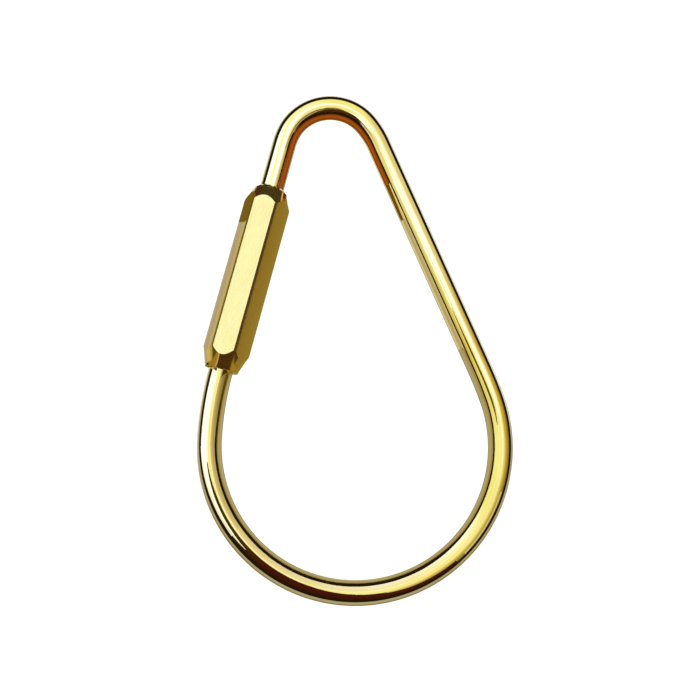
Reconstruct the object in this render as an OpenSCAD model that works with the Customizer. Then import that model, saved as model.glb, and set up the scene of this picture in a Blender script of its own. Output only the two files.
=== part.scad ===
// Key ring: a teardrop loop of round brass rod, closed by a spring-loaded
// hexagonal sleeve that slides up the straight left leg to open the loop.
// Millimetres. X right, Y back, Z up, as the ring hangs from its top bend.
// The origin is the centre of the top bend. The sleeve is drawn closed.

/* [Rod] */
// Diameter of the round rod
rod_d = 4; // [3.6:0.1:4.1]
// Lean of the straight left leg from the vertical, in degrees
leg_lean = 14.5; // [13:0.1:16]
// Depth that the rod's lower end reaches into the closed sleeve
plug_len = 3.5; // [2:0.1:4]
// Length of the bevel on the rod's lower end
tip_bevel = 0.5; // [0.2:0.1:0.8]

/* [Bends, going clockwise from the left leg] */
// Radius of the easy bend above the left leg, at the rod's centre
left_shoulder_r = 12; // [10:1:16]
// Turn of the easy bend above the left leg, in degrees
left_shoulder_turn = 10.5; // [8:0.5:12]
// Radius of the top bend that the ring hangs by, at the rod's centre
top_r = 7.7; // [7.2:0.1:8.2]
// Turn of the top bend, in degrees
top_turn = 115.5; // [113:0.5:118]
// Radius of the easy bend at the head of the right leg
right_shoulder_r = 15; // [12:1:18]
// Turn of the easy bend at the head of the right leg, in degrees
right_shoulder_turn = 16.5; // [15:0.5:18]
// Radius of the easy bend at the foot of the right leg
right_foot_r = 72; // [60:1:80]
// Turn of the easy bend at the foot of the right leg, in degrees
right_foot_turn = 4; // [3:0.5:6]
// Radius of the big bottom bend that holds the keys, at the rod's centre
bottom_r = 23.3; // [22:0.1:24.5]
// Radius of the easy bend that leads into the sleeve's mouth
left_foot_r = 53; // [45:1:60]
// Turn of the easy bend that leads into the sleeve's mouth, in degrees
left_foot_turn = 12; // [10:0.5:14]

/* [Sleeve] */
// Length of the sleeve, with its end bush
sleeve_len = 31.5; // [30:0.1:32]
// Size of the sleeve across its flats
sleeve_af = 6.9; // [6.8:0.1:8]
// Diameter that trims the six long corners of the sleeve
sleeve_corner_d = 7.72; // [7.6:0.02:7.9]
// Turn of the sleeve about the rod, in degrees
sleeve_turn = -3; // [-30:1:30]
// Length of the cone at the sleeve's lower end
low_cone_len = 3.15; // [2:0.05:4]
// Diameter of the flat ring at the sleeve's lower end
low_lip_d = 5.5; // [5:0.02:6]
// Length of the cone at the sleeve's upper end
high_cone_len = 2.55; // [2:0.05:4]
// Radial running clearance between rod and sleeve
run_clear = 0.08; // [0.04:0.01:0.1]
// Depth of the guide bore at the lower end of the sleeve
guide_len = 9.5; // [8:0.1:11]
// Diameter of the spring chamber
chamber_d = 5.4; // [5.3:0.05:5.5]
// How far the sleeve slides up to open the ring
travel = 7; // [5:0.1:7.4]

/* [End bush, collar and spring] */
// Length of the bush that closes the sleeve's upper end
bush_len = 4.5; // [3:0.1:5]
// Height of the bush's bevelled nose
bush_nose = 0.5; // [0.3:0.05:0.8]
// Height of the stop collar on the rod
collar_h = 2.2; // [1.8:0.1:3]
// Diameter of the stop collar
collar_d = 5; // [4.8:0.05:5.1]
// Diameter of the pin through the collar and the rod
pin_d = 0.8; // [0.6:0.1:1]
// Thickness of the thrust washer under the spring
washer_t = 0.4; // [0.3:0.05:0.6]
// Wire diameter of the return spring
wire_d = 0.45; // [0.35:0.05:0.45]
// Number of turns of the return spring, with its closed ends
turns = 13; // [10:1:14]

/* [Hidden] */
$fn = 96;
eps = 0.01;
rr = rod_d / 2;
// a pressed joint is drawn with this hairline gap, so that the solids don't share volume
press = 0.005;
// a rest face stops this far short of the face that it rests on
rest_gap = 0.02;
// radius of the slightly hollow chamfers, in section
chamfer_r = 26;

bottom_turn = 360 - left_shoulder_turn - top_turn - right_shoulder_turn
              - right_foot_turn - left_foot_turn;

// The rod's centreline lies in the XZ plane and runs clockwise, always bending
// to its right. A heading is measured from straight up, turning to the right.
function ahead(h) = [sin(h), cos(h)];
function right(h) = [cos(h), -sin(h)];
// centre of a bend that starts at p with heading h, and its far end after turn a
function bend_c(p, h, r) = p + r * right(h);
function bend_end(p, h, r, a) = bend_c(p, h, r) - r * right(h + a);

// headings at the joints between one stretch and the next
h_leg = leg_lean;
h_top = h_leg + left_shoulder_turn;
h_rsh = h_top + top_turn;
h_right = h_rsh + right_shoulder_turn;
h_bot = h_right + right_foot_turn;
h_lft = h_bot + bottom_turn;

// points at the joints, from the top bend's centre at the origin
p_top = -top_r * right(h_top);
p_leg = bend_c(p_top, h_top, left_shoulder_r) - left_shoulder_r * right(h_leg);
p_rsh = bend_end(p_top, h_top, top_r, top_turn);
p_right = bend_end(p_rsh, h_rsh, right_shoulder_r, right_shoulder_turn);
// where the lower rod end would come out if the right leg had no length
q_foot = bend_end(p_right, h_right, right_foot_r, right_foot_turn);
q_lft = bend_end(q_foot, h_bot, bottom_r, bottom_turn);
q_end = bend_end(q_lft, h_lft, left_foot_r, left_foot_turn);
// the right leg is as long as it takes to bring that end back onto the left leg's line
right_len = -((q_end - p_leg) * right(h_leg)) / (ahead(h_right) * right(h_leg));
p_foot = p_right + right_len * ahead(h_right);
p_bot = bend_end(p_foot, h_right, right_foot_r, right_foot_turn);
p_lft = bend_end(p_bot, h_bot, bottom_r, bottom_turn);
p_end = bend_end(p_lft, h_lft, left_foot_r, left_foot_turn);
// the sleeve's mouth is where the rod comes back onto the left leg's line
p_mouth = p_end;
leg_span = (p_leg - p_mouth) * ahead(h_leg);

// heights along the sleeve's own axis, from its mouth
w_plug = plug_len;
// the rod's upper end stays just inside the mouth when the sleeve is right up
w_end = travel + 0.1;
w_bush = sleeve_len - bush_len;
w_collar = w_bush - rest_gap - collar_h;
w_pin = w_collar + collar_h / 2;
w_seat = guide_len + eps + washer_t;

module at_sleeve() translate([p_mouth[0], 0, p_mouth[1]]) rotate([0, leg_lean, 0]) children();
module flat_ring(r_in, r_out, w0, w1, bevel = 0)
    rotate_extrude() polygon([[r_in, w0], [r_out - bevel, w0], [r_out, w0 + bevel],
                              [r_out, w1 - bevel], [r_out - bevel, w1], [r_in, w1]]);
module ring_plain(r_in, r_out, w0, w1)
    rotate_extrude() polygon([[r_in, w0], [r_out, w0], [r_out, w1], [r_in, w1]]);

// One bend of the rod, from heading h through turn a, starting at p. Every
// second stretch is a hair thinner and laps into its neighbours, so that the
// stretches join into one solid bar.
lap = 0.1;
hair = 0.01;
module bend(p, h, r, a, thin = false) {
    c = bend_c(p, h, r);
    over = thin ? lap / r * 180 / PI : 0;
    translate([c[0], 0, c[1]]) rotate([90, 0, 0]) rotate([0, 0, 180 - h - a - over])
        rotate_extrude(angle = a + 2 * over) translate([r, 0]) circle(r = rr - (thin ? hair : 0));
}

// The bent rod: one piece, from its upper end inside the sleeve, up the left
// leg, over the top bend, down the right leg, round the bottom bend and back
// into the sleeve's mouth.
module rod_loop() color("#c9a43f") difference() {
    union() {
        at_sleeve() rotate_extrude() polygon([[0, w_end], [rr - 0.3, w_end], [rr, w_end + 0.3],
                                              [rr, leg_span], [0, leg_span]]);
        bend(p_leg, h_leg, left_shoulder_r, left_shoulder_turn, thin = true);
        bend(p_top, h_top, top_r, top_turn);
        bend(p_rsh, h_rsh, right_shoulder_r, right_shoulder_turn, thin = true);
        translate([p_right[0], 0, p_right[1]]) rotate([0, h_right, 0]) cylinder(r = rr, h = right_len);
        bend(p_foot, h_right, right_foot_r, right_foot_turn, thin = true);
        bend(p_bot, h_bot, bottom_r, bottom_turn);
        bend(p_lft, h_lft, left_foot_r, left_foot_turn, thin = true);
        at_sleeve() rotate_extrude() polygon([[0, 0], [rr, 0], [rr, w_plug - tip_bevel],
                                              [rr - tip_bevel, w_plug], [0, w_plug]]);
    }
    at_sleeve() translate([0, rr + 1, w_pin]) rotate([90, 0, 0])
        cylinder(r = pin_d / 2 + press, h = rod_d + 2);
}

// One end's chamfer as a solid to cut away: it leaves a slightly hollow cone that
// passes through radius r0 at height w0 and radius r1 at height w1.
module chamfer_cut(r0, w0, r1, w1) {
    d = [r1 - r0, w1 - w0];
    len = norm(d);
    side = w1 > w0 ? 1 : -1;
    n = side * [d[1], -d[0]] / len;
    mid = [(r0 + r1) / 2, (w0 + w1) / 2];
    c = mid + n * sqrt(chamfer_r * chamfer_r - len * len / 4);
    rotate_extrude() translate(c) circle(r = chamfer_r, $fn = 180);
}

// The hexagonal sleeve: a drawn hexagon bar, chamfered at both ends, with a guide
// bore at the mouth and a wider chamber for the spring above it.
module hex_sleeve() color("#d8b24a") at_sleeve() rotate([0, 0, sleeve_turn]) difference() {
    intersection() {
        cylinder(d = sleeve_af / cos(30), h = sleeve_len - bush_nose, $fn = 6);
        cylinder(d = sleeve_corner_d, h = sleeve_len - bush_nose);
    }
    chamfer_cut(low_lip_d / 2, 0, sleeve_corner_d / 2, low_cone_len);
    chamfer_cut(chamber_d / 2 + 0.05, sleeve_len - bush_nose,
                sleeve_corner_d / 2, sleeve_len - bush_nose - high_cone_len);
    rotate_extrude() polygon([[0, -1], [rr + run_clear + 0.27, -1], [rr + run_clear + 0.27, 0],
                              [rr + run_clear, 0.27], [rr + run_clear, guide_len],
                              [chamber_d / 2, guide_len], [chamber_d / 2, sleeve_len + 1],
                              [0, sleeve_len + 1]]);
}

// The bush pressed into the sleeve's upper end. It closes the spring chamber,
// runs on the rod, and rests on the stop collar when the ring is shut.
module top_bush() color("#cfa842") at_sleeve()
    rotate_extrude() polygon([[rr + run_clear, w_bush], [chamber_d / 2 - press, w_bush],
                              [chamber_d / 2 - press, sleeve_len - bush_nose],
                              [rr + run_clear + 0.06, sleeve_len], [rr + run_clear, sleeve_len]]);

// The collar on the rod that stops the sleeve and carries the spring's upper end.
module stop_collar() color("#b9bcc0") at_sleeve() difference() {
    flat_ring(rr + press, collar_d / 2, w_collar, w_collar + collar_h, 0.15);
    translate([0, collar_d, w_pin]) rotate([90, 0, 0]) cylinder(r = pin_d / 2 + press, h = 2 * collar_d);
}

// The pin driven through the collar and the rod.
module collar_pin() color("#8d9196") at_sleeve() translate([0, 0, w_pin]) rotate([90, 0, 0])
    rotate_extrude() polygon([[0, -collar_d / 2 + 0.05], [pin_d / 2 - 0.1, -collar_d / 2 + 0.05],
                              [pin_d / 2, -collar_d / 2 + 0.15], [pin_d / 2, collar_d / 2 - 0.15],
                              [pin_d / 2 - 0.1, collar_d / 2 - 0.05], [0, collar_d / 2 - 0.05]]);

// The compression spring: a coil swept ring by ring, its end turns closed up.
sp_r = (collar_d / 2 + rr) / 2 + 0.12;
sp_lo = w_seat + wire_d / 2 + 0.02;
sp_hi = w_collar - wire_d / 2 - 0.02;
sp_seg = 20;
sp_n = turns * sp_seg;
sp_sides = 8;
// height of the wire's centre after t turns: one closed turn at each end
function sp_rise(t) = t < 1 ? t * wire_d * 1.04
    : t > turns - 1 ? (sp_hi - sp_lo) - (turns - t) * wire_d * 1.04
    : wire_d * 1.04 + (t - 1) * ((sp_hi - sp_lo) - 2 * wire_d * 1.04) / (turns - 2);
function sp_ring(i) = let (t = i / sp_seg, a = 360 * t, z = sp_lo + sp_rise(t))
    [for (k = [0 : sp_sides - 1]) let (b = 360 * k / sp_sides, q = sp_r + wire_d / 2 * cos(b))
        [q * cos(a), q * sin(a), z + wire_d / 2 * sin(b)]];
module return_spring() color("#a8acb2") at_sleeve() polyhedron(
    points = [for (i = [0 : sp_n]) each sp_ring(i)],
    faces = concat(
        [[for (k = [0 : sp_sides - 1]) k]],
        [for (i = [0 : sp_n - 1]) for (k = [0 : sp_sides - 1]) let (n = (k + 1) % sp_sides)
            [i * sp_sides + k, (i + 1) * sp_sides + k, (i + 1) * sp_sides + n, i * sp_sides + n]],
        [[for (k = [sp_sides - 1 : -1 : 0]) sp_n * sp_sides + k]]));

// The washer between the spring and the sleeve's shoulder, so that the sleeve
// can turn without winding the spring.
module thrust_washer() color("#c2a45a") at_sleeve()
    ring_plain(rr + run_clear, chamber_d / 2 - 0.1, guide_len + eps, guide_len + eps + washer_t);

rod_loop();
hex_sleeve();
top_bush();
stop_collar();
collar_pin();
return_spring();
thrust_washer();
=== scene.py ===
import math

import bpy
import numpy as np
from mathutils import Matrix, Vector


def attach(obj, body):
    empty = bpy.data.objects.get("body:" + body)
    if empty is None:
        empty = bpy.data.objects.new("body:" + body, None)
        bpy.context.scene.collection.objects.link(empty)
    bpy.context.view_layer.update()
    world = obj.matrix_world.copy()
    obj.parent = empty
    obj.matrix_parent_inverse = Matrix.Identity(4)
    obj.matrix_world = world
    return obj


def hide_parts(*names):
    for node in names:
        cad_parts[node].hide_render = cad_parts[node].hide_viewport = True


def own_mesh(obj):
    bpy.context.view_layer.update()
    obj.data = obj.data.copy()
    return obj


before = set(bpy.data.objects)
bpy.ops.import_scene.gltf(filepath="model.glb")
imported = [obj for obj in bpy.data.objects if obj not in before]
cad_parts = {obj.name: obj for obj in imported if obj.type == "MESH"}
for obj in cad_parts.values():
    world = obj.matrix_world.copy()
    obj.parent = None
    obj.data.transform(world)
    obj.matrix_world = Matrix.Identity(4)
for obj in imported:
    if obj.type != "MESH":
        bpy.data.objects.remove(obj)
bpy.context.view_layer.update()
MM = 0.001
scene = bpy.context.scene

# ---------------------------------------------------------------- dimensions, as in the CAD source
ROD_R = 2.0
LEAN = 14.5
PLUG, TIP_BEVEL = 3.5, 0.5
SHOULDER_L, TURN_L = 12.0, 10.5
TOP_R, TOP_TURN = 7.7, 115.5
SHOULDER_R, TURN_R = 15.0, 16.5
FOOT_R, FOOT_R_TURN = 72.0, 4.0
BOTTOM_R = 23.3
FOOT_L, FOOT_L_TURN = 53.0, 12.0
SLEEVE_LEN, SLEEVE_AF, CORNER_D, SLEEVE_TURN = 31.5, 6.9, 7.72, -3.0
LOW_CONE, LOW_LIP_D, HIGH_CONE, CHAMFER_R = 3.15, 5.5, 2.55, 26.0
CLEAR, GUIDE, CHAMBER_D, TRAVEL = 0.08, 9.5, 5.4, 7.0
BUSH_LEN, BUSH_NOSE = 4.5, 0.5
COLLAR_H, COLLAR_D, WASHER_T = 2.2, 5.0, 0.4
WIRE_D, TURNS = 0.45, 13
PRESS, REST_GAP, EPS = 0.005, 0.02, 0.01
END_W = TRAVEL + 0.1


def ahead(h):
    h = math.radians(h)
    return np.array([math.sin(h), math.cos(h)])


def right(h):
    h = math.radians(h)
    return np.array([math.cos(h), -math.sin(h)])


def bend_c(p, h, r):
    return p + r * right(h)


def bend_end(p, h, r, a):
    return bend_c(p, h, r) - r * right(h + a)


H_TOP = LEAN + TURN_L
H_RSH = H_TOP + TOP_TURN
H_RIGHT = H_RSH + TURN_R
H_BOT = H_RIGHT + FOOT_R_TURN
H_LFT = 360.0 + LEAN - FOOT_L_TURN
P_TOP = -TOP_R * right(H_TOP)
P_LEG = bend_c(P_TOP, H_TOP, SHOULDER_L) - SHOULDER_L * right(LEAN)
P_RSH = bend_end(P_TOP, H_TOP, TOP_R, TOP_TURN)
P_RIGHT = bend_end(P_RSH, H_RSH, SHOULDER_R, TURN_R)
_q = bend_end(P_RIGHT, H_RIGHT, FOOT_R, FOOT_R_TURN)
_q = bend_end(_q, H_BOT, BOTTOM_R, H_LFT - H_BOT)
_q = bend_end(_q, H_LFT, FOOT_L, FOOT_L_TURN)
RIGHT_LEN = -((_q - P_LEG) @ right(LEAN)) / (ahead(H_RIGHT) @ right(LEAN))
P_FOOT = P_RIGHT + RIGHT_LEN * ahead(H_RIGHT)
P_BOT = bend_end(P_FOOT, H_RIGHT, FOOT_R, FOOT_R_TURN)
P_LFT = bend_end(P_BOT, H_BOT, BOTTOM_R, H_LFT - H_BOT)
P_MOUTH = bend_end(P_LFT, H_LFT, FOOT_L, FOOT_L_TURN)
LEG_SPAN = (P_LEG - P_MOUTH) @ ahead(LEAN)

# the sleeve's own frame: x to the right across the leg, y back, w up along the leg
A2 = ahead(LEAN)
X2 = right(LEAN)
AXIS = np.array([A2[0], 0.0, A2[1]])
XDIR = np.array([X2[0], 0.0, X2[1]])
YDIR = np.array([0.0, 1.0, 0.0])
MOUTH = np.array([P_MOUTH[0], 0.0, P_MOUTH[1]])


def in_frame(x, y, w):
    """Points of the sleeve's frame in the row frame, in mm."""
    x, y, w = np.broadcast_arrays(x, y, w)
    return MOUTH + x[..., None] * XDIR + y[..., None] * YDIR + w[..., None] * AXIS


def turned(x, y, w):
    """Directions of the sleeve's frame in the row frame."""
    x, y, w = np.broadcast_arrays(x, y, w)
    return x[..., None] * XDIR + y[..., None] * YDIR + w[..., None] * AXIS


# ---------------------------------------------------------------- mesh helpers
class Builder:
    """Collects rings of points, with a normal on each side of a ring, into one closed mesh."""

    def __init__(self):
        self.points, self.faces, self.normals = [], [], []
        self.count = 0
        self.fields = {}

    def ring(self, pts, **fields):
        pts = np.asarray(pts, float)
        ids = np.arange(self.count, self.count + len(pts))
        self.points.append(pts)
        self.count += len(pts)
        for k, v in fields.items():
            self.fields.setdefault(k, []).append(np.asarray(v, float))
        return ids

    def band(self, a, na, b, nb):
        """Quads between rings a and b, with the normals that the band has at each."""
        n = len(a)
        j = np.arange(n)
        k = (j + 1) % n
        self.faces += np.stack([a[j], a[k], b[k], b[j]], 1).tolist()
        self.normals.append(np.stack([na[j], na[k], nb[k], nb[j]], 1).reshape(-1, 3))

    def cap(self, ring, centre, normal, flip):
        n = len(ring)
        c = self.ring([centre], **{k: v[-1][:1] for k, v in self.fields.items()})[0]
        for i in range(n):
            a, b = ring[i], ring[(i + 1) % n]
            self.faces.append([b, a, c] if flip else [a, b, c])
            self.normals.append(np.repeat([normal], 3, 0))

    def build(self, name, smooth=True):
        pts = np.concatenate(self.points) * MM
        mesh = bpy.data.meshes.new(name)
        mesh.from_pydata(pts.tolist(), [], self.faces)
        for k, chunks in self.fields.items():
            data = np.concatenate(chunks)
            if data.ndim == 2:
                att = mesh.attributes.new(k, "FLOAT_VECTOR", "POINT")
                att.data.foreach_set("vector", data.astype(np.float32).ravel())
            else:
                att = mesh.attributes.new(k, "FLOAT", "POINT")
                att.data.foreach_set("value", data.astype(np.float32))
        mesh.update()
        mesh.polygons.foreach_set("use_smooth", [smooth] * len(mesh.polygons))
        normals = np.concatenate(self.normals)
        normals /= np.linalg.norm(normals, axis=1)[:, None] + 1e-12
        mesh.normals_split_custom_set(normals.tolist())
        obj = bpy.data.objects.new(name, mesh)
        scene.collection.objects.link(obj)
        return obj


def rings_along(builder, rings, loop=False):
    """rings: a list of (points, normals before, normals after, fields). Joins each ring to the next."""
    ids = [builder.ring(p, **f) for p, _, _, f in rings]
    n = len(rings)
    for i in range(n if loop else n - 1):
        j = (i + 1) % n
        builder.band(ids[i], rings[i][2], ids[j], rings[j][1])
    return ids


# ---------------------------------------------------------------- the bent rod
def centreline(start=END_W, plug=PLUG):
    """Points (x, z), headings and lengths along the rod's centreline, from its upper end to its lower end."""
    rows = []

    def line(p, h, length, step):
        n = max(1, int(math.ceil(length / step)))
        for i in range(n):
            rows.append((p + ahead(h) * length * i / n, h))

    def arc(p, h, r, a, step):
        n = max(2, int(math.ceil(math.radians(a) * r / step)))
        for i in range(n):
            t = a * i / n
            rows.append((bend_end(p, h, r, t), h + t))

    line(P_MOUTH + start * A2, LEAN, LEG_SPAN - start, 0.8)
    arc(P_LEG, LEAN, SHOULDER_L, TURN_L, 0.2)
    arc(P_TOP, H_TOP, TOP_R, TOP_TURN, 0.2)
    arc(P_RSH, H_RSH, SHOULDER_R, TURN_R, 0.25)
    line(P_RIGHT, H_RIGHT, RIGHT_LEN, 0.8)
    arc(P_FOOT, H_RIGHT, FOOT_R, FOOT_R_TURN, 0.4)
    arc(P_BOT, H_BOT, BOTTOM_R, H_LFT - H_BOT, 0.3)
    arc(P_LFT, H_LFT, FOOT_L, FOOT_L_TURN, 0.4)
    if plug:
        line(P_MOUTH, LEAN + 360.0, plug, 0.5)
    rows.append((P_MOUTH + plug * A2, LEAN + 360.0))
    return rows


def make_rod():
    b = Builder()
    sides = 80
    phi = np.arange(sides) * 2 * math.pi / sides
    rows = centreline()
    # a rounded edge at each end, then the plain bar
    rings = []
    run = 0.0
    last = None

    def ring(p, h, r, s, n_axial=(0.0, 0.0)):
        a = right(h)
        t = ahead(h)
        c, sn = np.cos(phi), np.sin(phi)
        pts = np.stack([p[0] + r * c * a[0], r * sn, p[1] + r * c * a[1]], 1)
        rad = np.stack([c * a[0], sn, c * a[1]], 1)
        tan = np.array([t[0], 0.0, t[1]])
        before = rad + n_axial[0] * tan
        after = rad + n_axial[1] * tan
        straight = np.stack([np.full(sides, s), ROD_R * c, ROD_R * sn], 1)
        return (pts, before, after, {"straight": straight})

    p0, h0 = rows[0]
    rings.append(ring(p0, h0, ROD_R - 0.3, 0.0, (-1.0, -1.0)))
    rings.append(ring(p0 + 0.3 * ahead(h0), h0, ROD_R, 0.3, (-1.0, 0.0)))
    run = 0.0
    for i, (p, h) in enumerate(rows):
        if last is not None:
            run += float(np.linalg.norm(p - last))
        last = p
        if run > 0.35 and i < len(rows) - 1 and not (i > len(rows) - 4 and (P_MOUTH + PLUG * A2 - p) @ A2 < TIP_BEVEL + 0.02):
            rings.append(ring(p, h, ROD_R, run))
    pe, he = rows[-1]
    rings.append(ring(pe - TIP_BEVEL * ahead(he), he, ROD_R, run - TIP_BEVEL, (0.0, 1.0)))
    rings.append(ring(pe, he, ROD_R - TIP_BEVEL, run, (1.0, 1.0)))
    ids = rings_along(b, rings)
    t0 = np.array([ahead(h0)[0], 0, ahead(h0)[1]])
    b.cap(ids[0], np.array([p0[0], 0, p0[1]]), -t0, True)
    te = np.array([ahead(he)[0], 0, ahead(he)[1]])
    b.cap(ids[-1], np.array([pe[0], 0, pe[1]]), te, False)
    return b.build("bent_rod")


# ---------------------------------------------------------------- the hexagonal sleeve
def chamfer_profile(r0, w0, r1, w1, n=400):
    """Radius against height of the slightly hollow chamfer between two points."""
    d = np.array([r1 - r0, w1 - w0])
    length = np.linalg.norm(d)
    side = 1 if w1 > w0 else -1
    nrm = side * np.array([d[1], -d[0]]) / length
    mid = np.array([(r0 + r1) / 2, (w0 + w1) / 2])
    c = mid + nrm * math.sqrt(CHAMFER_R**2 - length**2 / 4)
    w = np.linspace(w0, w1, n)
    r = c[0] - np.sqrt(CHAMFER_R**2 - (w - c[1]) ** 2)
    return w, r


def make_sleeve():
    b = Builder()
    flat = SLEEVE_AF / 2
    corner = CORNER_D / 2
    top = SLEEVE_LEN - BUSH_NOSE
    edge = 0.05  # half width of the rounded edges
    d_f = math.degrees(math.acos(flat / corner))
    off_f = math.degrees(edge / flat)
    off_s = math.degrees(edge / corner)
    angles, radius, ndir = [], [], []
    for k in range(6):
        mid = 30 + 60 * k
        for d in np.linspace(-(d_f - off_f), d_f - off_f, 15):
            angles.append(mid + d)
            radius.append(flat / math.cos(math.radians(d)))
            ndir.append(mid)
        for d in np.linspace(d_f + off_s, 60 - d_f - off_s, 5):
            angles.append(mid + d)
            radius.append(corner)
            ndir.append(mid + d)
    ang = np.radians(np.array(angles) + SLEEVE_TURN)
    nd = np.radians(np.array(ndir) + SLEEVE_TURN)
    # hexagon corners of the CAD source lie at 0, 60, ... degrees, so its flats lie at 30, 90, ...
    rad = np.array(radius)
    ca, sa = np.cos(ang), np.sin(ang)
    cn, sn = np.cos(nd), np.sin(nd)
    n = len(ang)
    wl, rl = chamfer_profile(LOW_LIP_D / 2, 0.0, corner, LOW_CONE)
    wh, rh = chamfer_profile(CHAMBER_D / 2 + 0.05, top, corner, top - HIGH_CONE)
    w1 = np.interp(rad, rl, wl)
    w2 = np.interp(rad, rh, wh)
    slope_l = np.gradient(rl, wl)
    slope_h = np.gradient(rh, wh)

    def circ(r, w):
        r, w = np.broadcast_to(r, n), np.broadcast_to(w, n)
        return in_frame(r * ca, r * sa, w)

    def nrm(radial, axial, cc=ca, ss=sa):
        radial, axial = np.broadcast_to(radial, n), np.broadcast_to(axial, n)
        return turned(radial * cc, radial * ss, axial)

    def field(w, wear, r=None):
        r = np.broadcast_to(rad if r is None else r, n)
        w = np.broadcast_to(w, n)
        return {
            "straight": np.stack([w, r * ca, r * sa], 1),
            "wear": np.broadcast_to(wear, n).astype(float),
            "turned": np.full(n, 0.0),
        }

    down = nrm(0.0, -1.0)
    up = nrm(0.0, 1.0)
    outw = nrm(1.0, 0.0)
    inw = nrm(-1.0, 0.0)
    body = nrm(1.0, 0.0, cn, sn)
    # wear along the corner strips as well as at the ends
    strip = np.array([1.0 if abs(((a - 30 + 30) % 60) - 30) > d_f - 1.5 else 0.0 for a in angles])
    rings = []

    def add(pts, before, after, f, is_turned=0.0):
        f = dict(f)
        f["turned"] = np.full(n, is_turned)
        rings.append((pts, before, after, f))

    add(circ(LOW_LIP_D / 2 - 0.05, 0.0), down, down, field(0.0, 1.0, LOW_LIP_D / 2), 1.0)
    r_b = np.interp(0.06, wl, rl)
    s_b = np.interp(0.06, wl, slope_l)
    add(circ(r_b, 0.06), nrm(1.0, -s_b), nrm(1.0, -s_b), field(0.06, 1.0, r_b), 1.0)
    for f in np.linspace(0.06, 1.0, 9)[1:-1]:
        w = 0.06 + (w1 - edge - 0.06) * f
        r, s = np.interp(w, wl, rl), np.interp(w, wl, slope_l)
        add(circ(r, w), nrm(1.0, -s), nrm(1.0, -s), field(w, 0.0, r), 1.0)
    w = w1 - edge
    r, s = np.interp(w, wl, rl), np.interp(w, wl, slope_l)
    add(circ(r, w), nrm(1.0, -s), nrm(1.0, -s), field(w, 1.0, r), 1.0)
    add(circ(rad, w1 + edge), body, body, field(w1 + edge, 1.0))
    for f in np.linspace(0.0, 1.0, 15)[1:-1]:
        w = (w1 + edge) * (1 - f) + (w2 - edge) * f
        add(circ(rad, w), body, body, field(w, strip * 0.6))
    add(circ(rad, w2 - edge), body, body, field(w2 - edge, 1.0))
    wi, ri, si = wh[::-1], rh[::-1], slope_h[::-1]
    w = w2 + edge
    r, s = np.interp(w, wi, ri), np.interp(w, wi, si)
    add(circ(r, w), nrm(1.0, -s), nrm(1.0, -s), field(w, 1.0, r), 1.0)
    for f in np.linspace(0.0, 1.0, 8)[1:]:
        w = (w2 + edge) * (1 - f) + (top - 0.03) * f
        r, s = np.interp(w, wi, ri), np.interp(w, wi, si)
        add(circ(r, w), nrm(1.0, -s), nrm(1.0, -s), field(w, 0.0, r), 1.0)
    cham = CHAMBER_D / 2
    add(circ(cham + 0.035, top), up, up, field(top, 1.0, cham), 1.0)
    add(circ(cham, top), up, inw, field(top, 0.0, cham), 1.0)
    add(circ(cham, GUIDE), inw, up, field(GUIDE, 0.0, cham), 1.0)
    bore = ROD_R + CLEAR
    add(circ(bore, GUIDE), up, inw, field(GUIDE, 0.0, bore), 1.0)
    tilt = nrm(-1.0, -1.0)
    add(circ(bore, 0.30), inw, nrm(-1.0, -0.4), field(0.3, 0.0, bore), 1.0)
    add(circ(bore + 0.24, 0.03), tilt, tilt, field(0.03, 0.0, bore), 1.0)
    add(circ(bore + 0.29, 0.0), down, down, field(0.0, 0.6, bore), 1.0)
    rings_along(b, rings, loop=True)
    return b.build("hex_grip_sleeve")


def make_lathe(name, profile, sides=96):
    """A turned ring: profile is a closed list of (radius, height, normal before, normal after), outside first."""
    b = Builder()
    phi = np.arange(sides) * 2 * math.pi / sides
    c, s = np.cos(phi), np.sin(phi)
    rings = []
    for r, w, nb, na in profile:
        rings.append(
            (
                in_frame(r * c, r * s, np.full(sides, w)),
                turned(nb[0] * c, nb[0] * s, np.full(sides, nb[1])),
                turned(na[0] * c, na[0] * s, np.full(sides, na[1])),
                {
                    "straight": np.stack([np.full(sides, w), r * c, r * s], 1),
                    "wear": np.zeros(sides),
                    "turned": np.ones(sides),
                },
            )
        )
    rings_along(b, rings, loop=True)
    return b.build(name)


def make_bush():
    lo, hi = SLEEVE_LEN - BUSH_LEN, SLEEVE_LEN
    ri, ro = ROD_R + CLEAR, CHAMBER_D / 2 - PRESS
    nose = (1.0, 1.0)
    out, inn, up, dn = (1.0, 0.0), (-1.0, 0.0), (0.0, 1.0), (0.0, -1.0)
    prof = [
        (ri, lo, inn, dn),
        (ro, lo, dn, out),
        (ro, hi - BUSH_NOSE - 0.03, out, out),
        (ro - 0.03, hi - BUSH_NOSE + 0.02, nose, nose),
        (ri + 0.12, hi - 0.05, nose, nose),
        (ri + 0.06, hi, up, up),
        (ri + 0.02, hi, up, up),
        (ri, hi - 0.03, inn, inn),
    ]
    return make_lathe("end_bush", prof)


# ---------------------------------------------------------------- the return spring
W_SEAT = GUIDE + EPS + WASHER_T
W_COLLAR = SLEEVE_LEN - BUSH_LEN - REST_GAP - COLLAR_H


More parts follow.
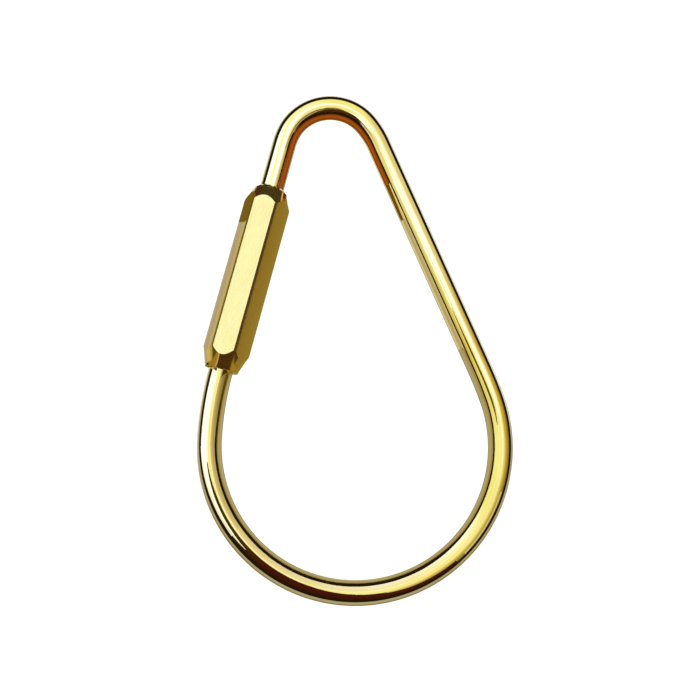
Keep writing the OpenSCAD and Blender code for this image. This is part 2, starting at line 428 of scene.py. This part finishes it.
def make_spring():
    r = (COLLAR_D / 2 + ROD_R) / 2 + 0.12
    lo, hi = W_SEAT + WIRE_D / 2 + 0.02, W_COLLAR - WIRE_D / 2 - 0.02
    per, sides = 40, 14
    n = TURNS * per

    def rise(t):
        close = WIRE_D * 1.04
        if t < 1:
            return t * close
        if t > TURNS - 1:
            return (hi - lo) - (TURNS - t) * close
        return close + (t - 1) * ((hi - lo) - 2 * close) / (TURNS - 2)

    b = Builder()
    phi = -np.arange(sides) * 2 * math.pi / sides
    rings = []
    for i in range(n + 1):
        t = i / per
        a = 2 * math.pi * t
        z = lo + rise(t)
        wr = WIRE_D / 2
        rad = np.cos(phi)
        x, y = (r + wr * rad) * math.cos(a), (r + wr * rad) * math.sin(a)
        pts = in_frame(x, y, z + wr * np.sin(phi))
        nn = turned(rad * math.cos(a), rad * math.sin(a), np.sin(phi))
        rings.append((pts, nn, nn, {"straight": np.stack([np.full(sides, a * r), wr * rad, wr * np.sin(phi)], 1)}))
    ids = rings_along(b, rings)
    t0 = turned(0.0, 1.0, 0.0)
    b.cap(ids[0], in_frame(r, 0.0, lo), -t0, True)
    b.cap(ids[-1], in_frame(r, 0.0, hi), t0, False)
    return b.build("coil_spring")


# ---------------------------------------------------------------- materials
class Nodes:
    """Short calls for building a node tree."""

    def __init__(self, tree):
        self.tree = tree
        tree.nodes.clear()
        self.x = 0

    def add(self, kind, **settings):
        node = self.tree.nodes.new(kind)
        node.location = (self.x, 0)
        self.x += 40
        for k, v in settings.items():
            setattr(node, k, v)
        return node

    def link(self, a, b):
        self.tree.links.new(a, b)

    def feed(self, socket, value):
        if isinstance(value, bpy.types.NodeSocket):
            self.link(value, socket)
        else:
            socket.default_value = value

    def math(self, op, a, b=0.0, c=0.0, clamp=False):
        node = self.add("ShaderNodeMath", operation=op, use_clamp=clamp)
        for s, v in zip(node.inputs, (a, b, c)):
            self.feed(s, v)
        return node.outputs[0]

    def step(self, value, lo, hi, to=(0.0, 1.0)):
        node = self.add("ShaderNodeMapRange", interpolation_type="SMOOTHSTEP")
        for s, v in zip(node.inputs, (value, lo, hi, to[0], to[1])):
            self.feed(s, v)
        return node.outputs[0]

    def linear(self, value, lo, hi, to=(0.0, 1.0)):
        node = self.add("ShaderNodeMapRange", interpolation_type="LINEAR", clamp=True)
        for s, v in zip(node.inputs, (value, lo, hi, to[0], to[1])):
            self.feed(s, v)
        return node.outputs[0]

    def mix(self, fac, a, b):
        node = self.add("ShaderNodeMix", data_type="RGBA")
        for name, v in (("Factor", fac), ("A", a), ("B", b)):
            for s in node.inputs:
                if s.name == name and (s.type == ("VALUE" if name == "Factor" else "RGBA")):
                    self.feed(s, v if isinstance(v, (bpy.types.NodeSocket, float, int)) else (*v, 1.0))
        return [o for o in node.outputs if o.type == "RGBA"][0]

    def dot(self, a, b):
        node = self.add("ShaderNodeVectorMath", operation="DOT_PRODUCT")
        self.feed(node.inputs[0], a)
        self.feed(node.inputs[1], b)
        return node.outputs["Value"]

    def noise(self, vector, scale, detail=2.0, rough=0.5, distortion=0.0):
        node = self.add("ShaderNodeTexNoise")
        self.feed(node.inputs["Vector"], vector)
        node.inputs["Scale"].default_value = scale
        node.inputs["Detail"].default_value = detail
        node.inputs["Roughness"].default_value = rough
        node.inputs["Distortion"].default_value = distortion
        return node.outputs[0]

    def scaled(self, vector, factors):
        node = self.add("ShaderNodeVectorMath", operation="MULTIPLY")
        self.feed(node.inputs[0], vector)
        node.inputs[1].default_value = factors
        return node.outputs[0]


def attribute(n, name, vector=True):
    node = n.add("ShaderNodeAttribute", attribute_type="GEOMETRY", attribute_name=name)
    return node.outputs["Vector" if vector else "Fac"]


def brass(name, tone, deep, rough, grain, rough_spread=0.05, dents=0.0, hex_body=False):
    """Polished brass: two close tones, a fine grain along the bar, and a finish that varies in gloss."""
    m = bpy.data.materials.new(name)
    m.use_nodes = True
    n = Nodes(m.node_tree)
    out = n.add("ShaderNodeOutputMaterial")
    bsdf = n.add("ShaderNodeBsdfPrincipled")
    n.link(bsdf.outputs[0], out.inputs[0])
    bsdf.inputs["Metallic"].default_value = 1.0
    straight = attribute(n, "straight")
    # broad clouds of slightly deeper tone, as brass takes where it is handled
    clouds = n.noise(n.scaled(straight, (0.35, 1.0, 1.0)), 0.35, 3.0, 0.55)
    colour = n.mix(n.step(clouds, 0.40, 0.72), tone, deep)
    # hairlines along the bar
    hair = n.noise(n.scaled(straight, (0.5, 9.0, 9.0)), 1.6, 3.0, 0.6)
    fine = n.noise(n.scaled(straight, (2.0, 2.0, 2.0)), 4.0, 2.0, 0.5)
    gloss = n.linear(hair, 0.3, 0.75, (rough - rough_spread, rough + rough_spread))
    if hex_body:
        wear = attribute(n, "wear", False)
        cut = attribute(n, "turned", False)
        # tool marks run round the turned chamfers, and drawing lines run along the flats
        rings = n.noise(n.scaled(straight, (14.0, 0.6, 0.6)), 1.5, 2.0, 0.55)
        pattern = n.mix(cut, hair, rings)
        hair = pattern
        worn = n.math("MULTIPLY", wear, n.step(n.noise(straight, 0.9, 3.0, 0.6), 0.35, 0.65))
        gloss = n.math("SUBTRACT", gloss, n.math("MULTIPLY", worn, rough * 0.45))
        gloss = n.math("SUBTRACT", gloss, n.math("MULTIPLY", cut, rough * 0.35), clamp=True)
        colour = n.mix(n.math("MULTIPLY", n.step(pattern, 0.38, 0.70), 0.8), colour, tuple(c * k for c, k in zip(deep, (0.96, 0.92, 0.72))))
        colour = n.mix(n.math("MULTIPLY", worn, 0.5), colour, tuple(min(1.0, c * 1.06) for c in tone))
    n.link(colour, bsdf.inputs["Base Color"])
    n.link(gloss, bsdf.inputs["Roughness"])
    bump = n.add("ShaderNodeBump")
    bump.inputs["Strength"].default_value = grain
    bump.inputs["Distance"].default_value = 0.00002
    n.link(hair, bump.inputs["Height"])
    wave = n.add("ShaderNodeBump")
    wave.inputs["Strength"].default_value = 1.0
    wave.inputs["Distance"].default_value = dents * MM
    n.link(n.noise(n.scaled(straight, (0.16, 0.5, 0.5)), 1.0, 1.5, 0.4), wave.inputs["Height"])
    n.link(bump.outputs[0], wave.inputs["Normal"])
    n.link(wave.outputs[0], bsdf.inputs["Normal"])
    return m


def steel(name, tone, rough, along=(1.0, 6.0, 6.0), coords="object"):
    """Plain stainless steel for the hidden pieces, with a drawn or turned grain."""
    m = bpy.data.materials.new(name)
    m.use_nodes = True
    n = Nodes(m.node_tree)
    out = n.add("ShaderNodeOutputMaterial")
    bsdf = n.add("ShaderNodeBsdfPrincipled")
    n.link(bsdf.outputs[0], out.inputs[0])
    bsdf.inputs["Metallic"].default_value = 1.0
    if coords == "straight":
        vec = attribute(n, "straight")
    else:
        tc = n.add("ShaderNodeTexCoord")
        vec = n.scaled(tc.outputs["Object"], (1000.0, 1000.0, 1000.0))
    grain = n.noise(n.scaled(vec, along), 2.0, 3.0, 0.6)
    n.link(n.mix(n.step(grain, 0.3, 0.7), tone, tuple(c * 0.82 for c in tone)), bsdf.inputs["Base Color"])
    n.link(n.linear(grain, 0.3, 0.7, (rough - 0.06, rough + 0.08)), bsdf.inputs["Roughness"])
    bump = n.add("ShaderNodeBump")
    bump.inputs["Strength"].default_value = 0.25
    bump.inputs["Distance"].default_value = 0.00002
    n.link(grain, bump.inputs["Height"])
    n.link(bump.outputs[0], bsdf.inputs["Normal"])
    return m


TONE = (0.90, 0.78, 0.40)
DEEP = (0.87, 0.73, 0.34)
rod_mat = brass("polished_rod_brass", TONE, DEEP, 0.045, 0.06, 0.015, dents=0.010)
sleeve_mat = brass("drawn_hexagon_brass", TONE, DEEP, 0.20, 0.16, 0.04, dents=0.006, hex_body=True)
bush_mat = brass("turned_bush_brass", TONE, DEEP, 0.12, 0.10, 0.03, dents=0.0, hex_body=True)

rod = make_rod()
sleeve = make_sleeve()
bush = make_bush()
spring = make_spring()
for piece, mat, body, node, slot in (
    (rod, rod_mat, "loop", "rod_loop", "rod_brass"),
    (sleeve, sleeve_mat, "sleeve", "hex_sleeve", "sleeve_brass"),
    (bush, bush_mat, "sleeve", "top_bush", "bush_brass"),
    (spring, steel("drawn_spring_wire", (0.62, 0.62, 0.63), 0.28, coords="straight"), "loop", "return_spring", "spring_steel"),
):
    piece.data.materials.append(mat)
    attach(piece, body)
    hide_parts(node)
hold = in_frame(0.0, 0.0, W_COLLAR) * MM
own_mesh(spring)

inner = {
    "stop_collar": steel("turned_collar_steel", (0.66, 0.66, 0.67), 0.30, (0.6, 0.6, 9.0)),
    "collar_pin": steel("ground_pin_steel", (0.56, 0.57, 0.59), 0.22, (9.0, 0.6, 9.0)),
    "thrust_washer": steel("stamped_washer_brass", (0.82, 0.68, 0.34), 0.32, (5.0, 5.0, 5.0)),
}
for node, mat in inner.items():
    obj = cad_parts[node]
    obj.data.materials.clear()
    obj.data.materials.append(mat)

# ---------------------------------------------------------------- studio
# Towards the camera's side of the ring: the axis that the studio's soft boxes are laid out around.
TILT = 10.0
BACK = (0.0, -math.cos(math.radians(TILT)), -math.sin(math.radians(TILT)))
UP = (0.0, -math.sin(math.radians(TILT)), math.cos(math.radians(TILT)))
SIDE = (1.0, 0.0, 0.0)
EYE = np.array([1.669, 0.0, -32.057]) + 184.5 * np.array(BACK)

# light tent: cream light in front, a dark seam round the sides, a pale wall behind
CREAM, SEAM, WALL, WALL_RIGHT = (1.09, 1.20, 1.03), (0.015, 0.010, 0.003), (0.45, 0.44, 0.43), (0.9, 1.0, 1.5)
# where the seam starts and ends, in degrees from the axis: a + b sin(bearing) + c cos(2 bearing)
# + d cos(bearing), softness
SEAM_START, SEAM_END = (70.5, 18, 6, 2.5, 2.0), (107, 27, 0, 3.5, 2.0)
# soft boxes and coloured cards in the front half: angle from the axis and its softness,
# bearing with half width and softness, colour, strength
CARDS = [
    dict(th=(0, 200, 1), az=(178, 48, 12), c=(1.3, 1.5, 2.3)),
    dict(th=(17, 46, 8), az=(76, 27, 10), c=(1.3, 1.5, 2.35)),
    dict(th=(34, 200, 8), az=(78, 20, 9), c=(1.05, 1.12, 0.62)),
    dict(th=(47, 200, 6), az=(45, 17, 8), c=(0.84, 0.76, 0.50)),
    dict(th=(31, 200, 10), az=(-6, 36, 10), c=(0.74, 0.66, 0.22)),
    dict(th=(50, 200, 12), az=(-2, 34, 10), c=(0.43, 0.33, 0.05)),
    dict(th=(44, 200, 12), az=(26, 9, 5), c=(0.66, 0.46, 0.05), k=0.9),
    dict(th=(70, 200, 9), az=(-6, 34, 10), c=(0.26, 0.19, 0.03)),
    dict(th=(28, 200, 9), az=(-47, 16, 8), c=(0.05, 0.03, 0.006), k=0.9),
    dict(th=(0, 19, 3), az=(90, 200, 1), c=(1.08, 1.08, 0.68)),
    dict(th=(6, 200, 4), az=(-92, 33, 8), c=(0.065, 0.010, 0.006)),
    dict(th=(6, 60, 5), az=(-134, 13, 7), c=(0.05, 0.035, 0.006)),
    dict(th=(28, 200, 8), az=(-168, 14, 8), c=(1.0, 0.92, 0.70)),
]
# the same behind the ring: two soft boxes, a gold reflector below and a dark flag between them
BACK_CARDS = [
    dict(th=(140, 200, 7), az=(90, 80, 16), c=(1.1, 1.15, 0.95)),
    dict(th=(134, 162, 5), az=(168, 24, 9), c=(1.1, 1.2, 1.0)),
    dict(th=(118, 200, 8), az=(-90, 62, 14), c=(0.30, 0.22, 0.05)),
    dict(th=(150, 160, 2.5), az=(0, 200, 1), c=(0.03, 0.02, 0.005)),
    dict(th=(166, 200, 4), az=(0, 200, 1), c=(1.1, 1.1, 0.8)),
]


def make_world():
    world = bpy.data.worlds.new("studio")
    scene.world = world
    world.use_nodes = True
    n = Nodes(world.node_tree)
    out = n.add("ShaderNodeOutputWorld")
    tc = n.add("ShaderNodeTexCoord")
    d = tc.outputs["Generated"]
    x, y, z = n.dot(d, SIDE), n.dot(d, UP), n.dot(d, BACK)
    th = n.math("MULTIPLY", n.math("ARCCOSINE", n.math("MINIMUM", n.math("MAXIMUM", z, -1.0), 1.0)), 180 / math.pi)
    bearing = n.math("ARCTAN2", y, x)
    az = n.math("MULTIPLY", bearing, 180 / math.pi)

    def hang(cards, colour):
        for card in cards:
            t0, t1, ft = card["th"]
            m = n.step(th, t1 - ft, t1 + ft, (1.0, 0.0)) if t1 < 180 else 1.0
            if t0 > 0:
                m = n.math("MULTIPLY", n.step(th, t0 - ft, t0 + ft), m)
            a0, hw, fa = card["az"]
            off = n.math("ABSOLUTE", n.math("WRAP", n.math("SUBTRACT", az, float(a0)), 180.0, -180.0))
            m = n.math("MULTIPLY", n.step(off, hw - fa, hw + fa, (card.get("k", 1.0), 0.0)), m)
            colour = n.mix(m, colour, card["c"])
        return colour

    colour = hang(CARDS, CREAM)
    sine = n.math("SINE", bearing)
    cos2 = n.math("COSINE", n.math("MULTIPLY", bearing, 2.0))
    wall = n.mix(n.step(n.math("ABSOLUTE", n.math("SUBTRACT", az, 48.0)), 28.0, 52.0), WALL_RIGHT, WALL)
    cos1 = n.math("COSINE", bearing)
    for (a, b, c, e, w), tint in ((SEAM_START, SEAM), (SEAM_END, wall)):
        limit = n.math("MULTIPLY_ADD", sine, float(b), float(a))
        limit = n.math("MULTIPLY_ADD", cos2, float(c), limit)
        limit = n.math("MULTIPLY_ADD", cos1, float(e), limit)
        m = n.step(n.math("SUBTRACT", th, limit), -w, w)
        colour = n.mix(m, colour, tint)
    colour = hang(BACK_CARDS, colour)
    glossy = n.add("ShaderNodeBackground")
    n.link(colour, glossy.inputs["Color"])
    plain = n.add("ShaderNodeBackground")
    plain.inputs["Color"].default_value = (1.0, 1.0, 1.0, 1.0)
    plain.inputs["Strength"].default_value = 1.12
    path = n.add("ShaderNodeLightPath")
    mixer = n.add("ShaderNodeMixShader")
    n.link(path.outputs["Is Glossy Ray"], mixer.inputs[0])
    n.link(plain.outputs[0], mixer.inputs[1])
    n.link(glossy.outputs[0], mixer.inputs[2])
    n.link(mixer.outputs[0], out.inputs[0])


make_world()


def loop_rows():
    """Points, headings and running length of the closed centreline, clockwise from the sleeve's mouth."""
    rows = centreline(0.0, 0.0)
    pts = np.array([p for p, _ in rows])
    run = np.concatenate([[0.0], np.cumsum(np.linalg.norm(np.diff(pts, axis=0), axis=1))])
    return pts, np.array([h for _, h in rows]), run


def mirrored(centre, side, front, level, out, facing=False, radius=ROD_R):
    """Where a card that stands out millimetres to one side, or faces the rod from that far in front, is met by
    the light that the round surface mirrors to the front, level radii from the middle."""
    n = level * side + math.sqrt(1 - level * level) * front
    x = centre + radius * n
    v = EYE - x
    v /= np.linalg.norm(v)
    r = 2 * (n @ v) * n - v
    to = front if facing else side
    return x + r * (out - (x - centre) @ to) / (r @ to)


def glow(name, verts, faces, cols, body=None):
    """A glowing card with a colour at each corner, which only mirrored light meets. It may move with a body."""
    mesh = bpy.data.meshes.new(name)
    mesh.from_pydata(verts, [], faces)
    tint = mesh.color_attributes.new("tint", "FLOAT_COLOR", "POINT")
    tint.data.foreach_set("color", np.array(cols, np.float32).ravel())
    mat = bpy.data.materials.new(name)
    mat.use_nodes = True
    n = Nodes(mat.node_tree)
    o = n.add("ShaderNodeOutputMaterial")
    e = n.add("ShaderNodeEmission")
    a = n.add("ShaderNodeAttribute", attribute_type="GEOMETRY", attribute_name="tint")
    n.link(a.outputs["Color"], e.inputs["Color"])
    n.link(e.outputs[0], o.inputs[0])
    mesh.materials.append(mat)
    obj = bpy.data.objects.new(name, mesh)
    scene.collection.objects.link(obj)
    obj.visible_camera = obj.visible_diffuse = obj.visible_shadow = obj.visible_transmission = False
    if body:
        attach(obj, body)
    return obj


def card(name, edges, tones, end=None, out=5.0, outside=False, plain=False, facing=False,
         body=None, per_station=2):
    """A card that stands beside the rod, in one tone or graded across through a few, and lengthwise to those of
    its end. edges: (station of 240 round the loop, first edge, last edge); an edge is the level on the rod where it
    is mirrored, or if plain, its height in front of the rod's centre."""
    pts, head, run = loop_rows()
    edges = np.array(edges, float)
    tones = np.array(tones if len(tones) > 1 else list(tones) * 2, float)
    end = tones if end is None else np.array(end, float)
    rows = 2 * len(tones) - 1
    stations = edges[:, 0]
    verts, cols, faces = [], [], []
    count = int((stations[-1] - stations[0]) * per_station) + 1
    for c in range(count):
        st = stations[0] + (stations[-1] - stations[0]) * c / (count - 1)
        u = st / 240.0 * run[-1] % run[-1]
        p = np.array([np.interp(u, run, pts[:, k]) for k in (0, 1)])
        h = float(np.interp(u, run, head))
        t2, a2 = ahead(h), right(h)
        t = np.array([t2[0], 0.0, t2[1]])
        centre = np.array([p[0], 0.0, p[1]])
        front = EYE - centre
        front = front - (front @ t) * t
        front /= np.linalg.norm(front)
        side = np.cross(front, t)
        if (side @ np.array([a2[0], 0.0, a2[1]]) < 0) != outside:
            side = -side
        now = tones + (end - tones) * c / (count - 1)
        first, last = np.interp(st, stations, edges[:, 1]), np.interp(st, stations, edges[:, 2])
        for r in range(rows):
            f = r / (rows - 1)
            level = float(first + (last - first) * f)
            at = centre + out * side + level * front if plain else mirrored(centre, side, front, level, out, facing)
            verts.append(tuple(at * MM))
            cols.append([*[np.interp(f * (len(tones) - 1), range(len(now)), now[:, k]) for k in range(3)], 1.0])
            if c and r:
                i = c * rows + r
                faces.append((i - rows - 1, i - rows, i, i - 1))
    return glow(name, verts, faces, cols, body)


def shelf(name, root, r0, r1, keys):
    """A shallow cone round the leg, edge on to all that the rod and the flats mirror, so that only the sleeve's
    chamfers show it. keys: (bearing from the front, to the right, colour)."""
    front = EYE - MOUTH - root * AXIS
    climb = -(front @ AXIS) / np.linalg.norm(front - (front @ AXIS) * AXIS)
    front = front - (front @ AXIS) * AXIS
    front /= np.linalg.norm(front)
    side = np.cross(front, AXIS)
    if side @ XDIR < 0:
        side = -side
    verts, cols, faces = [], [], []
    ang = np.array([k[0] for k in keys], float)
    col = np.array([k[1] for k in keys], float)
    count = int(ang[-1] - ang[0]) + 1
    for c in range(count):
        a = ang[0] + (ang[-1] - ang[0]) * c / (count - 1)
        ray = math.cos(math.radians(a)) * front + math.sin(math.radians(a)) * side
        for r in (r0, r1):
            verts.append(tuple((MOUTH + (root + climb * (r - r0)) * AXIS + r * ray) * MM))
            cols.append([*[np.interp(a, ang, col[:, k]) for k in range(3)], 1.0])
        if c:
            i = 2 * c
            faces.append((i - 2, i - 1, i + 1, i))
    return glow(name, verts, faces, cols, "spring_seat")


BLACK, BROWN, OLIVE = (0.015, 0.010, 0.003), (0.07, 0.03, 0.006), (0.30, 0.25, 0.07)
CREAMY, YELLOW, LEMON = (1.0, 1.02, 0.80), (0.88, 0.86, 0.48), (1.05, 1.08, 0.62)
SAND, PALE, LIGHT, WHITE = (0.70, 0.62, 0.42), (0.46, 0.43, 0.36), (0.85, 0.82, 0.72), (1.3, 1.45, 2.2)
GOLD, AMBER, PEACH = (0.35, 0.25, 0.07), (0.57, 0.46, 0.09), (0.98, 0.88, 0.62)
ORANGE, RUST, WINE = (0.43, 0.115, 0.015), (0.18, 0.03, 0.005), (0.065, 0.010, 0.006)
DULL, MOSS = (0.13, 0.09, 0.012), (0.05, 0.035, 0.006)

# inside the loop: a black flag all along, with a bright card on its one side and a warm one on the other
card("black_flag", [(36, 0.34, 0.43), (50, 0.31, 0.44), (57, 0.28, 0.49), (67, 0.28, 0.49), (75, 0.37, 0.48),
                    (118, 0.36, 0.47), (157, 0.475, 0.63), (165, 0.465, 0.715), (205, 0.46, 0.70), (225, 0.41, 0.58)],
     [BLACK], out=4.8)
card("rise_flag", [(225, 0.41, 0.58), (243, 0.51, 0.72)], [BLACK], end=[(0.16, 0.10, 0.008)], out=4.8)
card("neck_card", [(36, 0.10, 0.36), (50, 0.12, 0.34)], [CREAMY, SAND, OLIVE])
card("leg_card", [(68, 0.27, 0.38), (82, 0.18, 0.36), (90, 0.10, 0.36), (119, 0.06, 0.36)], [CREAMY, YELLOW],
     end=[LEMON, AMBER])
card("turn_card", [(119, 0.06, 0.36), (138, 0.06, 0.42)], [LEMON, AMBER], end=[LEMON, LEMON])
card("foot_card", [(138, 0.06, 0.42), (150, 0.072, 0.457)], [LEMON])
card("foot_end_card", [(150, 0.072, 0.457), (157.6, 0.08, 0.48)], [LEMON, LEMON], end=[LEMON, WHITE])
card("bottom_card", [(157.6, 0.08, 0.47), (208, 0.08, 0.46)], [LEMON, WHITE], end=[PEACH, SAND])
card("rise_card", [(208, 0.08, 0.46), (243, 0.06, 0.53)], [PEACH, SAND, SAND], end=[(0.62, 0.54, 0.30), OLIVE, DULL])
card("crook_card", [(54, 0.24, 0.27), (60, 0.05, 0.27), (65.5, 0.045, 0.27), (68.5, 0.24, 0.27)], [BROWN], out=1.2)
card("top_card", [(36, 0.44, 0.90), (50, 0.435, 0.90), (57, 0.475, 0.90), (67, 0.475, 0.90), (75, 0.475, 0.90),
                  (82.3, 0.48, 0.90)], [RUST, ORANGE, RUST])
card("patch_line", [(82.3, 0.48, 0.57), (90, 0.475, 0.68)], [PEACH, SAND])
card("patch_card", [(82.3, 0.57, 0.90), (90, 0.68, 0.90)], [(0.12, 0.06, 0.006), (0.22, 0.11, 0.01)])
card("warm_card", [(90, 0.475, 0.94), (118, 0.475, 0.94)], [SAND, PALE, LIGHT])
card("tan_card", [(118.5, 0.475, 0.94), (157, 0.635, 0.94), (165, 0.72, 0.94), (205, 0.705, 0.94), (225, 0.57, 0.94),
                  (243, 0.72, 0.94)], [GOLD, PALE, PALE])

# below the loop
card("under_flag", [(137, 0.70, 0.77), (146, 0.67, 0.75), (160, 0.60, 0.71), (168, 0.54, 0.68), (206, 0.47, 0.64),
                    (224, 0.68, 0.79)], [BLACK], out=4.8, outside=True)
card("gold_card", [(137, 0.26, 0.70), (160, 0.20, 0.62), (176, 0.15, 0.42)], [LEMON, AMBER, (0.22, 0.16, 0.025)],
     outside=True)
card("sand_strip", [(147, 0.51, 0.63), (160, 0.47, 0.59)], [SAND], out=4.9, outside=True)
card("wine_card", [(162, 0.46, 0.66), (172, 0.34, 0.62), (182, 0.12, 0.61), (190, 0.03, 0.60), (198, 0.025, 0.60)],
     [WINE, WINE, BLACK], out=1.5, outside=True)
card("moss_card", [(198, 0.025, 0.60), (207.5, 0.03, 0.60)], [WINE, WINE, BLACK], end=[MOSS, MOSS, BLACK], out=1.5,
     outside=True)
card("white_strip", [(204, 0.31, 0.34), (210, 0.27, 0.50), (225, 0.32, 0.67)], [WHITE, SAND], end=[WHITE, WHITE],
     out=1.45, outside=True)
card("dark_line", [(206.5, 0.03, 0.27), (215, 0.06, 0.27), (222, 0.20, 0.27)], [MOSS], out=1.5, outside=True)
card("lens_line", [(110, 0.03, 0.06), (118, -0.02, 0.12), (130, -0.03, 0.13), (134.5, 0.06, 0.11)], [DULL], out=20,
     facing=True)

# beside the sleeve, and moving up with it
beside = dict(out=4.4, plain=True, body="spring_seat")
card("sleeve_top_card", [(0, 3.25, 14.0), (37.5, 3.25, 14.0)], [(0.07, 0.035, 0.004)], **beside)
card("sleeve_card", [(0, -2.5, 3.25), (37.5, -2.5, 3.25)], [(0.38, 0.29, 0.07), (0.27, 0.185, 0.033)], **beside)
beside["outside"] = True
card("side_front_card", [(0, 3.1, 6.4), (37.5, 3.1, 6.4)], [(0.113, 0.078, 0.008)], **beside)
card("side_card", [(0, -2.5, 3.1), (29.7, -2.5, 3.1)],
     [(0.85, 0.82, 0.72), (0.42, 0.38, 0.38), (0.72, 0.59, 0.26), (0.45, 0.36, 0.15)], **beside)
card("side_end_card", [(29.7, -2.5, 3.1), (37.5, -2.5, 3.1)], [(0.19, 0.115, 0.007)], **beside)
DIM, DEEP_GOLD = (0.05, 0.04, 0.009), (0.36, 0.24, 0.03)
shelf("upper_shelf", 31.75, 2.3, 6.5,
      [(-100, BROWN), (-80, BROWN), (-66, WINE), (-40, DIM), (50, DIM), (58, WINE), (62, (0.85, 0.55, 0.28)),
       (68, (0.85, 0.55, 0.28)), (72, WINE), (110, RUST)])
shelf("lower_shelf", -0.4, 2.5, 9.5,
      [(-110, PALE), (-90, BLACK), (-74, BLACK), (-70, DEEP_GOLD), (-31, DEEP_GOLD), (-27, (0.9, 0.62, 0.32)),
       (-24, BROWN), (34, BROWN), (42, DEEP_GOLD), (110, DEEP_GOLD)])

# a plain pale floor, well below the hanging ring
size, low = 6.0, -0.225
floor_mesh = bpy.data.meshes.new("floor")
floor_mesh.from_pydata([(-size, -size, low), (size, -size, low), (size, size, low), (-size, size, low)], [], [(0, 1, 2, 3)])
floor = bpy.data.objects.new("floor", floor_mesh)
scene.collection.objects.link(floor)
floor_mat = bpy.data.materials.new("pale_floor")
floor_mat.use_nodes = True
fn = Nodes(floor_mat.node_tree)
f_out = fn.add("ShaderNodeOutputMaterial")
f_bsdf = fn.add("ShaderNodeBsdfPrincipled")
fn.link(f_bsdf.outputs[0], f_out.inputs[0])
f_bsdf.inputs["Base Color"].default_value = (0.93, 0.93, 0.93, 1.0)
f_bsdf.inputs["Roughness"].default_value = 0.9
f_bsdf.inputs["Specular IOR Level"].default_value = 0.0
floor_mesh.materials.append(floor_mat)
floor.visible_glossy = False

# one broad soft lamp above the front, which throws the ring's soft shadow on the floor
lamp_data = bpy.data.lights.new("key_box", "AREA")
lamp_data.shape = "RECTANGLE"
lamp_data.size, lamp_data.size_y = 0.5, 0.5
lamp_data.energy = 4.0
lamp = bpy.data.objects.new("key_box", lamp_data)
scene.collection.objects.link(lamp)
lamp.location = (-0.35, -0.45, 0.75)
lamp.rotation_mode = "QUATERNION"
lamp.rotation_quaternion = (Vector((0.0, 0.0, -0.1)) - lamp.location).to_track_quat("-Z", "Y")
lamp.visible_glossy = False

# ---------------------------------------------------------------- camera
cam_data = bpy.data.cameras.new("camera")
cam_data.sensor_width = 36.0
cam_data.lens = 60.0
cam_data.clip_start, cam_data.clip_end = 0.01, 50.0
cam = bpy.data.objects.new("camera", cam_data)
scene.collection.objects.link(cam)
aim = Vector((1.669, 0.0, -32.057)) * MM
look = Vector((0.0, math.cos(math.radians(TILT)), math.sin(math.radians(TILT))))
cam.location = aim - look * 184.5 * MM
cam.rotation_mode = "QUATERNION"
cam.rotation_quaternion = look.to_track_quat("-Z", "Y")
scene.camera = cam

scene.view_settings.view_transform = "Standard"
scene.view_settings.look = "None"
scene.view_settings.exposure = 0.0
scene.view_settings.gamma = 1.0
scene.cycles.max_bounces = 12
scene.cycles.glossy_bounces = 8
scene.cycles.use_denoising = True
